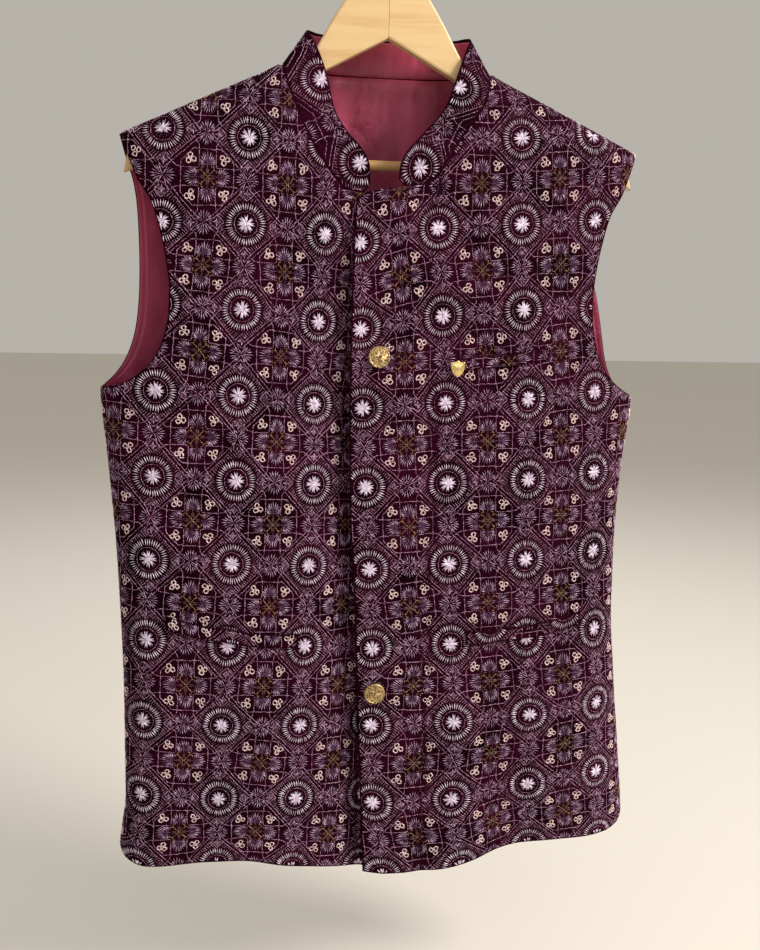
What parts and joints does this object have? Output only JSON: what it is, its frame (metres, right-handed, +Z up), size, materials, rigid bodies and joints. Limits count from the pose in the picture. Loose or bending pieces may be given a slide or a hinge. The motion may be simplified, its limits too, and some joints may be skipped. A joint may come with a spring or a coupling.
{
  "type": "nehru jacket on a wooden hanger",
  "caption": "Sleeveless band-collar jacket of embroidered velvet, buttoned at the front, hanging on a wooden hanger with a trouser bar.",
  "frame": {"origin": "inside of the hook's crown, where a rail carries the hanger", "axes": "+Z up, the front faces -Y, +X to the right as seen from the front"},
  "size_m": [0.493, 0.102, 0.8691],
  "materials": {
    "velvet": "cut pile velvet, embroidered in white, mauve, cream and gold thread",
    "lining": "satin weave lining",
    "button": "cast, hammered face, aged gold",
    "pin": "stamped, polished gold tone",
    "wood": "lotus wood, planed and clear lacquered",
    "hook": "bent wire, chrome plated",
    "thread": "stranded embroidery thread, white, mauve, cream and gold"
  },
  "bodies": {
    "root": {"front_left": "velvet", "front_right": "velvet", "back": "velvet", "collar": "velvet", "back_lining": "lining", "collar_lining": "lining", "chest_welt": "velvet", "lower_welt_left": "velvet", "lower_welt_right": "velvet", "button_upper": "button", "button_lower": "button", "shield_pin": "pin", "hanger_arm_left": "wood", "hanger_arm_right": "wood", "hanger_bar": "wood", "hook": "hook"}
  },
  "joints": []
}
